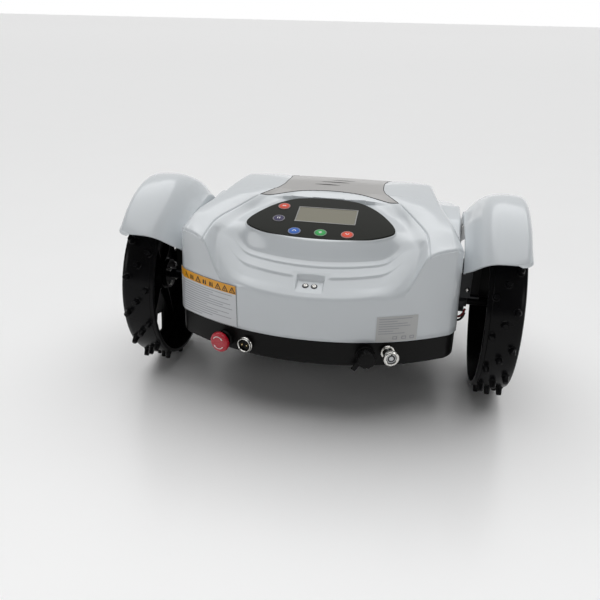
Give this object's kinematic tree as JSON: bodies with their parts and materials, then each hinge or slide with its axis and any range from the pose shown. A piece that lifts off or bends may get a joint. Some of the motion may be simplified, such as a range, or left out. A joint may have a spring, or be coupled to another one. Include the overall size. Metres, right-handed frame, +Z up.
{
  "type": "robotic lawn mower",
  "caption": "Robotic lawn mower with a white two-level cover over a black chassis, studded drive wheels under arched covers, front casters and a guarded cutting disc.",
  "frame": {"origin": "on the ground below the middle of the whole machine", "axes": "+Y towards the mower's front, +Z up, +X to its right; the control panel and the sockets are at the rear, -Y"},
  "size_m": [0.494, 0.59, 0.2592],
  "materials": {
    "white_cover": "gloss",
    "black_chassis": "satin moulded",
    "grey_insert": "satin pearl grey",
    "panel_film": "satin charcoal film",
    "display": "smooth grey-green display behind a clear window",
    "circuit_board": "satin",
    "studded_wheel": "satin moulded black",
    "steel": "machined",
    "nickel": "bright plated",
    "dark_steel": "dark grey paint",
    "black_trim": "satin",
    "stop_red": "semi-gloss",
    "warning_label": "printed film with plain bars",
    "rating_label": "printed film with plain bars",
    "battery_wrap": "shrink wrap",
    "lead_insulation": "red and black insulation",
    "button_red": "satin",
    "button_purple": "satin",
    "button_blue": "satin",
    "button_green": "satin",
    "caster_tread": "matt"
  },
  "bodies": {
    "chassis": {"chassis_pan": "black_chassis", "top_cover": "white_cover", "left_wheel_cover": "white_cover", "right_wheel_cover": "white_cover", "hood_insert": "grey_insert", "rain_sensor": "nickel", "warning_sticker": "warning_label", "rating_label": "rating_label", "battery_hatch": "black_chassis", "battery_pack": "battery_wrap", "main_board": "circuit_board", "blade_guard": "black_trim", "control_panel": "panel_film", "lcd_screen": "display", "display_board": "circuit_board", "left_gear_motor": "dark_steel", "right_gear_motor": "dark_steel", "left_motor_bracket": "dark_steel", "right_motor_bracket": "dark_steel", "left_speed_sensor": "black_trim", "right_speed_sensor": "black_trim", "left_motor_leads": "lead_insulation", "right_motor_leads": "lead_insulation", "left_charging_contact": "nickel", "right_charging_contact": "nickel", "estop_collar": "black_trim", "charge_socket": "nickel", "charge_socket_insert": "black_trim", "lock_body": "nickel", "service_socket": "black_trim"},
    "left_drive": {"left_wheel": "studded_wheel", "left_hub": "black_trim"},
    "right_drive": {"right_wheel": "studded_wheel", "right_hub": "black_trim"},
    "left_swivel": {"left_caster_fork": "black_trim", "left_caster_axle": "steel"},
    "right_swivel": {"right_caster_fork": "black_trim", "right_caster_axle": "steel"},
    "left_roller": {"left_caster_wheel": "caster_tread"},
    "right_roller": {"right_caster_wheel": "caster_tread"},
    "cutter_carriage": {"height_carriage": "dark_steel", "blade_motor": "steel"},
    "cutter": {"blade_disc": "black_trim", "blade_screw_1": "steel", "blade_screw_2": "steel", "blade_screw_3": "steel"},
    "blade_arm_1": {"blade_1": "steel"},
    "blade_arm_2": {"blade_2": "steel"},
    "blade_arm_3": {"blade_3": "steel"},
    "stop_plunger": {"estop_stem": "black_trim"},
    "stop_knob": {"estop_head": "stop_red"},
    "lock_barrel": {"lock_core": "nickel"},
    "cap_ring": {"cap_strap": "black_trim"},
    "cap": {"service_cap": "black_trim"},
    "bumper": {"front_bumper": "black_trim"},
    "red_upper_button_key": {"red_upper_button": "button_red"},
    "purple_button_key": {"purple_button": "button_purple"},
    "blue_button_key": {"blue_button": "button_blue"},
    "green_button_key": {"green_button": "button_green"},
    "red_lower_button_key": {"red_lower_button": "button_red"}
  },
  "joints": [
    {"name": "left_wheel_spin", "type": "hinge", "parent": "chassis", "child": "left_drive", "pos_m": [-0.22, -0.13385, 0.12], "axis": [1, 0, 0], "continuous": true},
    {"name": "right_wheel_spin", "type": "hinge", "parent": "chassis", "child": "right_drive", "pos_m": [0.22, -0.13385, 0.12], "axis": [1, 0, 0], "continuous": true},
    {"name": "left_caster_swivel", "type": "hinge", "parent": "chassis", "child": "left_swivel", "pos_m": [-0.102, 0.20815, 0.06], "axis": [0, 0, 1], "continuous": true},
    {"name": "left_caster_roll", "type": "hinge", "parent": "left_swivel", "child": "left_roller", "pos_m": [-0.102, 0.19115, 0.028], "axis": [1, 0, 0], "continuous": true},
    {"name": "right_caster_swivel", "type": "hinge", "parent": "chassis", "child": "right_swivel", "pos_m": [0.102, 0.20815, 0.06], "axis": [0, 0, 1], "continuous": true},
    {"name": "right_caster_roll", "type": "hinge", "parent": "right_swivel", "child": "right_roller", "pos_m": [0.102, 0.19115, 0.028], "axis": [1, 0, 0], "continuous": true},
    {"name": "cutting_height", "type": "slide", "parent": "chassis", "child": "cutter_carriage", "axis": [0, 0, 1], "range_m": [0, 0.02]},
    {"name": "blade_disc_spin", "type": "hinge", "parent": "cutter_carriage", "child": "cutter", "pos_m": [0, 0.03115, 0.046], "axis": [0, 0, 1], "continuous": true},
    {"name": "blade_1_swing", "type": "hinge", "parent": "cutter", "child": "blade_arm_1", "pos_m": [0.098, 0.03115, 0.043], "axis": [0, 0, 1], "continuous": true},
    {"name": "blade_2_swing", "type": "hinge", "parent": "cutter", "child": "blade_arm_2", "pos_m": [-0.049, 0.11602, 0.043], "axis": [0, 0, 1], "continuous": true},
    {"name": "blade_3_swing", "type": "hinge", "parent": "cutter", "child": "blade_arm_3", "pos_m": [-0.049, -0.05372, 0.043], "axis": [0, 0, 1], "continuous": true},
    {"name": "stop_press", "type": "slide", "parent": "chassis", "child": "stop_plunger", "axis": [0.3553, 0.9348, 0], "range_m": [0, 0.0035], "stiffness_N_per_m": 800, "springref_m": -0.001},
    {"name": "stop_twist", "type": "hinge", "parent": "stop_plunger", "child": "stop_knob", "pos_m": [-0.1025, -0.26373, 0.0955], "axis": [-0.3553, -0.9348, 0], "range_deg": [0, 35], "stiffness_Nm_per_rad": 0.05, "springref_deg": -2.86},
    {"name": "key_turn", "type": "hinge", "parent": "chassis", "child": "lock_barrel", "pos_m": [0.0934, -0.26701, 0.103], "axis": [0.3237, -0.9461, 0], "range_deg": [0, 90]},
    {"name": "cap_lift", "type": "slide", "parent": "chassis", "child": "cap_ring", "axis": [0.2374, -0.9714, 0], "range_m": [0, 0.004]},
    {"name": "cap_unscrew", "type": "hinge", "parent": "cap_ring", "child": "cap", "pos_m": [0.0685, -0.2743, 0.1], "axis": [0.2374, -0.9714, 0], "range_deg": [0, 360]},
    {"name": "red_upper_button_press", "type": "slide", "parent": "chassis", "child": "red_upper_button_key", "axis": [0, 0.2351, -0.972], "range_m": [0, 0.0008], "stiffness_N_per_m": 500, "springref_m": -0.0002},
    {"name": "purple_button_press", "type": "slide", "parent": "chassis", "child": "purple_button_key", "axis": [0, 0.2351, -0.972], "range_m": [0, 0.0008], "stiffness_N_per_m": 500, "springref_m": -0.0002},
    {"name": "blue_button_press", "type": "slide", "parent": "chassis", "child": "blue_button_key", "axis": [0, 0.2351, -0.972], "range_m": [0, 0.0008], "stiffness_N_per_m": 500, "springref_m": -0.0002},
    {"name": "green_button_press", "type": "slide", "parent": "chassis", "child": "green_button_key", "axis": [0, 0.2351, -0.972], "range_m": [0, 0.0008], "stiffness_N_per_m": 500, "springref_m": -0.0002},
    {"name": "red_lower_button_press", "type": "slide", "parent": "chassis", "child": "red_lower_button_key", "axis": [0, 0.2351, -0.972], "range_m": [0, 0.0008], "stiffness_N_per_m": 500, "springref_m": -0.0002},
    {"name": "bumper_press", "type": "slide", "parent": "chassis", "child": "bumper", "axis": [0, -1, 0], "range_m": [0, 0.007], "stiffness_N_per_m": 1500, "springref_m": -0.001}
  ],
  "couplings": [
    {"joint": "cap_unscrew", "follows": "cap_lift", "rad_per_m": 1555.1}
  ]
}
